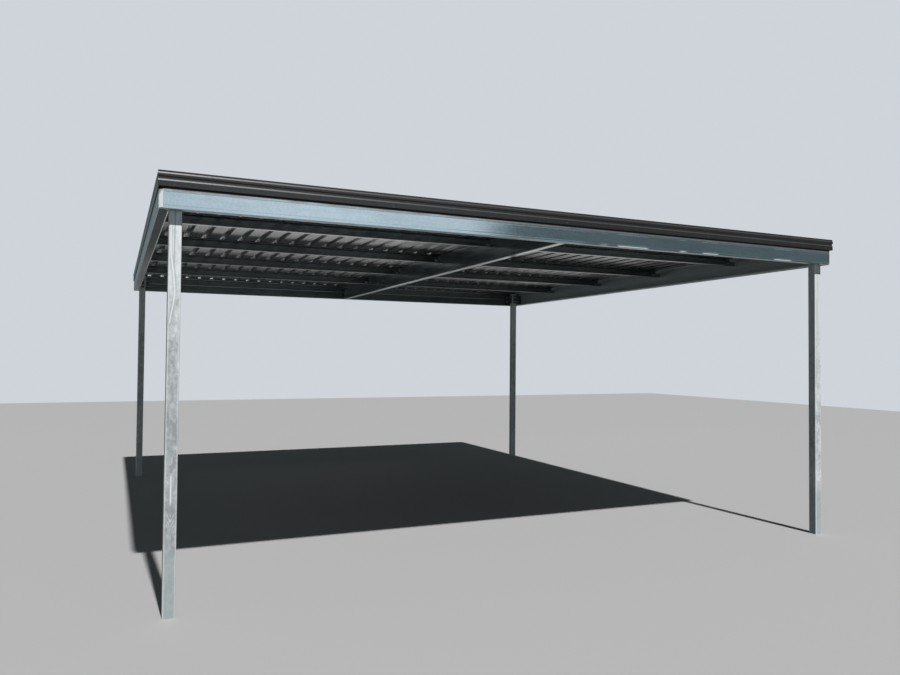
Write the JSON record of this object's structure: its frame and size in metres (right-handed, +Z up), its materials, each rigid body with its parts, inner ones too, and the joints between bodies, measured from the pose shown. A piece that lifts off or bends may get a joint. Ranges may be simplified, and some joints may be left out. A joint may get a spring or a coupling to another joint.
{
  "type": "carport",
  "caption": "Free-standing flat-roof double carport: square steel posts, channel ring beam, purlins, ribbed roof sheets, grooved edge flashing and a back gutter.",
  "frame": {"origin": "middle of the plan's bounding box, at ground level", "axes": "+Z up, -Y towards the open front with the fascia, +X to the right seen from the front"},
  "size_m": [6.93, 7.159, 3.2291],
  "materials": {
    "galvanised_steel": "satin",
    "roof_sheet": "satin",
    "dark_flashing": "satin"
  },
  "bodies": {
    "root": {"back_beam": "galvanised_steel", "barge_left": "dark_flashing", "barge_right": "dark_flashing", "corner_plates_back": "galvanised_steel", "corner_plates_front": "galvanised_steel", "front_beam": "galvanised_steel", "front_fascia": "dark_flashing", "gutter_base": "dark_flashing", "gutter_brackets": "dark_flashing", "gutter_ends": "dark_flashing", "gutter_outlet": "dark_flashing", "gutter_walls": "dark_flashing", "middle_rafter": "galvanised_steel", "post_back_left": "galvanised_steel", "post_back_right": "galvanised_steel", "post_cleats_back_left": "galvanised_steel", "post_cleats_back_right": "galvanised_steel", "post_cleats_front_left": "galvanised_steel", "post_cleats_front_right": "galvanised_steel", "post_front_left": "galvanised_steel", "post_front_right": "galvanised_steel", "purlin_cleats_rafter_left": "galvanised_steel", "purlin_cleats_rafter_right": "galvanised_steel", "purlin_cleats_side_left": "galvanised_steel", "purlin_cleats_side_right": "galvanised_steel", "purlin_left_1": "galvanised_steel", "purlin_left_2": "galvanised_steel", "purlin_left_3": "galvanised_steel", "purlin_left_4": "galvanised_steel", "purlin_right_1": "galvanised_steel", "purlin_right_2": "galvanised_steel", "purlin_right_3": "galvanised_steel", "purlin_right_4": "galvanised_steel", "rafter_cleats": "galvanised_steel", "roof_sheet_1": "roof_sheet", "roof_sheet_2": "roof_sheet", "roof_sheet_3": "roof_sheet", "roof_sheet_4": "roof_sheet", "roof_sheet_5": "roof_sheet", "roof_sheet_6": "roof_sheet", "roof_sheet_7": "roof_sheet", "roof_sheet_8": "roof_sheet", "roof_sheet_9": "roof_sheet", "side_beam_left": "galvanised_steel", "side_beam_right": "galvanised_steel"}
  },
  "joints": []
}
